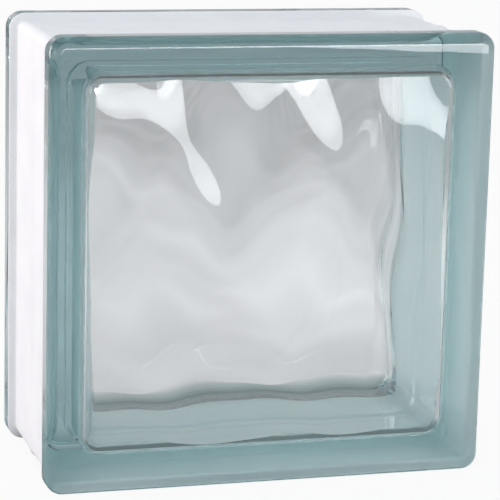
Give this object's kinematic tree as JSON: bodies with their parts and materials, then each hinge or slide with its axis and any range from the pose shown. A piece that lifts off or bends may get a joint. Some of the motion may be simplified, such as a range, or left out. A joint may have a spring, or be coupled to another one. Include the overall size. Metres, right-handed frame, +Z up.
{
  "type": "hollow glass block",
  "caption": "Square hollow glass wall block with wavy inner faces, projecting rims and a white-coated mortar channel round its edges.",
  "frame": {"origin": "middle of the block's footprint on the surface that it stands on", "axes": "+X along the width, +Y along the depth from the front face to the rear face, +Z up"},
  "size_m": [0.19, 0.1, 0.19],
  "materials": {
    "glass": "fire-polished clear glass with a green tint",
    "edge_coating": "matt white paint"
  },
  "bodies": {
    "root": {"front_half": "glass", "rear_half": "glass", "edge_coating": "edge_coating"}
  },
  "joints": []
}
